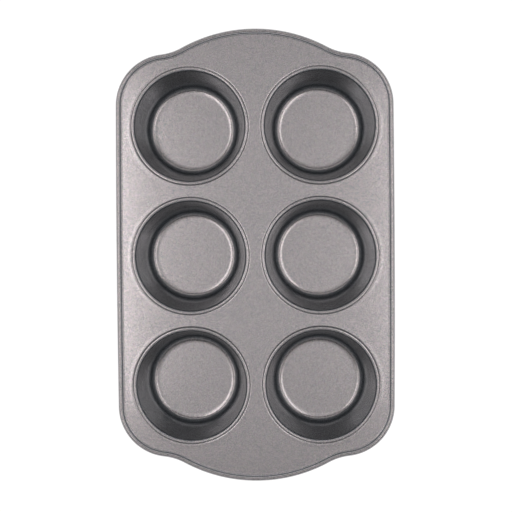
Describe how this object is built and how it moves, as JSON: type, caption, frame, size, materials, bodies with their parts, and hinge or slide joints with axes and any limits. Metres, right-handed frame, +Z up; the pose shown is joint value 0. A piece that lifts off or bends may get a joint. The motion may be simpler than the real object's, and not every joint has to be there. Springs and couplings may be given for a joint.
{
  "type": "muffin pan",
  "caption": "Baking pan with deep round cups seamed into a flat tray, a rolled rim over a wire, and a rounded grip tab at each end.",
  "frame": {"origin": "under the middle of the pan, in the plane of the cups' undersides that it stands on", "axes": "+X across the pan, from the left column of cups to the right one; +Y along its length, from the front tab to the back tab; +Z up, out of the cups' mouths"},
  "size_m": [0.2178, 0.3542, 0.0475],
  "materials": {
    "tray_coating": "dark grey non-stick coating with a fine metallic speckle, baked on to steel sheet",
    "cup_coating": "dark grey non-stick coating with a fine metallic speckle, baked on to drawn steel",
    "wire_steel": "plain drawn steel wire"
  },
  "bodies": {
    "root": {"tray_sheet": "tray_coating", "cup_front_left": "cup_coating", "cup_front_right": "cup_coating", "cup_middle_left": "cup_coating", "cup_middle_right": "cup_coating", "cup_back_left": "cup_coating", "cup_back_right": "cup_coating", "rim_wire": "wire_steel"}
  },
  "joints": []
}
